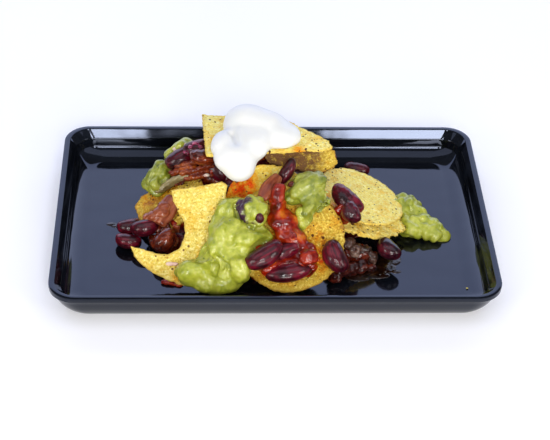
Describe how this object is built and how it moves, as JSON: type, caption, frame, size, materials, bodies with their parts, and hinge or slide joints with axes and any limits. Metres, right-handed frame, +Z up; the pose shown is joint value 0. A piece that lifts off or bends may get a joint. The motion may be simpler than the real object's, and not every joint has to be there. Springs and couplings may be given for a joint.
{
  "type": "plated nachos",
  "caption": "Heap of corn chips with kidney bean salsa, guacamole and a dollop of sour cream on a shallow rectangular black tray.",
  "frame": {"origin": "under the middle of the tray, on the surface it stands on", "axes": "+X to the right along the tray's length, +Y to the back across it, +Z up"},
  "size_m": [0.23, 0.15, 0.069],
  "materials": {
    "melamine": "black, polished",
    "corn_chip": "toasted yellow corn, blistered and speckled",
    "bean": "dark maroon skin, wet",
    "bean_salsa": "beans and diced vegetables in red-brown sauce, wet",
    "vegetable": "cooked pepper and tomato, wet",
    "tomato_salsa": "red sauce, wet",
    "guacamole": "mashed avocado, lumpy, moist",
    "cream": "thick sour cream, smooth folds"
  },
  "bodies": {
    "root": {"bean_back_a": "bean", "bean_back_b": "bean", "bean_back_c": "bean", "bean_behind": "bean", "bean_front_a": "bean", "bean_front_b": "bean", "bean_front_c": "bean", "bean_front_right": "bean", "bean_left_a": "bean", "bean_left_b": "bean", "bean_left_c": "bean", "bean_left_d": "bean", "bean_on_chip": "bean", "bean_on_chip_low": "bean", "bean_right_a": "bean", "bean_right_b": "bean", "bean_salsa": "bean_salsa", "bean_upright": "bean", "chip_back": "corn_chip", "chip_back_left": "corn_chip", "chip_back_top": "corn_chip", "chip_front": "corn_chip", "chip_front_left": "corn_chip", "chip_left": "corn_chip", "chip_middle": "corn_chip", "chip_right_low": "corn_chip", "chip_right_top": "corn_chip", "chip_top": "corn_chip", "chip_under_top": "corn_chip", "guacamole_ball": "guacamole", "guacamole_front": "guacamole", "guacamole_left": "guacamole", "guacamole_middle": "guacamole", "guacamole_rear": "guacamole", "guacamole_right": "guacamole", "pepper_strip_left": "vegetable", "pepper_strip_middle": "vegetable", "sour_cream": "cream", "tomato_dice": "vegetable", "tomato_piece_front": "vegetable", "tomato_salsa": "tomato_salsa", "tray": "melamine"}
  },
  "joints": []
}
